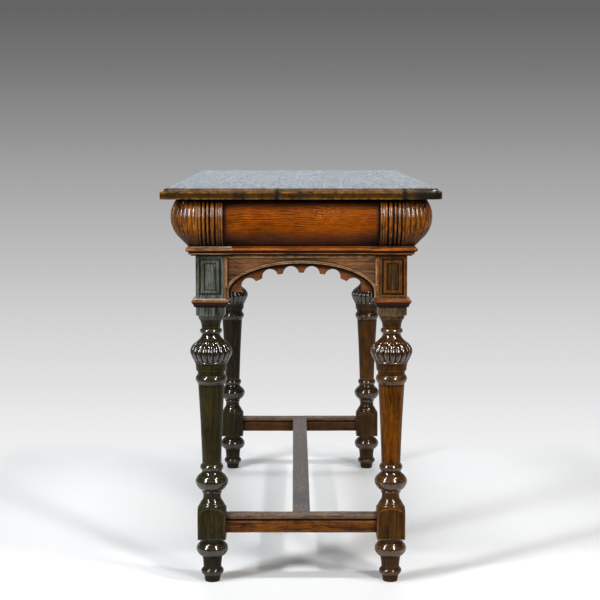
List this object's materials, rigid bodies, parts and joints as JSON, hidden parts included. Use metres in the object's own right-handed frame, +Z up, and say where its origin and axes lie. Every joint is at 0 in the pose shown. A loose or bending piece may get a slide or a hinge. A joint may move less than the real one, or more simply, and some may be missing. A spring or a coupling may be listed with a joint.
{
  "type": "communion table",
  "caption": "Oblong stained oak communion table on turned legs, with a bulging frieze carved at its corners, arched and cusped aprons and a low H stretcher.",
  "frame": {"origin": "on the floor, under the middle of the top", "axes": "+Z up, +Y along the table's length, +X across its width; the -Y end is the end that the reference view faces"},
  "size_m": [0.52, 1.2, 0.762],
  "materials": {
    "top_oak": "polished",
    "leg_oak": "polished",
    "warm_oak": "polished",
    "fringe_oak": "satin",
    "stretcher_oak": "polished",
    "carcase_oak": "matte",
    "screw_steel": "satin"
  },
  "bodies": {
    "root": {"collar_front_left": "warm_oak", "collar_front_right": "warm_oak", "collar_rear_left": "warm_oak", "collar_rear_right": "warm_oak", "corner_moulding_front_left": "warm_oak", "corner_moulding_front_right": "warm_oak", "corner_moulding_rear_left": "warm_oak", "corner_moulding_rear_right": "warm_oak", "cross_stretcher_front": "stretcher_oak", "cross_stretcher_rear": "stretcher_oak", "end_apron_front": "warm_oak", "end_apron_rear": "warm_oak", "end_frieze_board_front": "warm_oak", "end_frieze_board_rear": "warm_oak", "end_fringe_front": "fringe_oak", "end_fringe_rear": "fringe_oak", "end_moulding_front": "warm_oak", "end_moulding_rear": "warm_oak", "end_rail_front": "carcase_oak", "end_rail_rear": "carcase_oak", "frieze_corner_front_left": "warm_oak", "frieze_corner_front_right": "warm_oak", "frieze_corner_rear_left": "warm_oak", "frieze_corner_rear_right": "warm_oak", "leg_front_left": "leg_oak", "leg_front_right": "leg_oak", "leg_rear_left": "leg_oak", "leg_rear_right": "leg_oak", "long_stretcher": "stretcher_oak", "side_apron_left": "warm_oak", "side_apron_right": "warm_oak", "side_frieze_board_left": "warm_oak", "side_frieze_board_right": "warm_oak", "side_fringe_left": "fringe_oak", "side_fringe_right": "fringe_oak", "side_moulding_left": "warm_oak", "side_moulding_right": "warm_oak", "side_rail_left": "carcase_oak", "side_rail_right": "carcase_oak", "top_board_left": "top_oak", "top_board_middle": "top_oak", "top_board_right": "top_oak", "top_buttons": "carcase_oak", "top_screws": "screw_steel"}
  },
  "joints": []
}
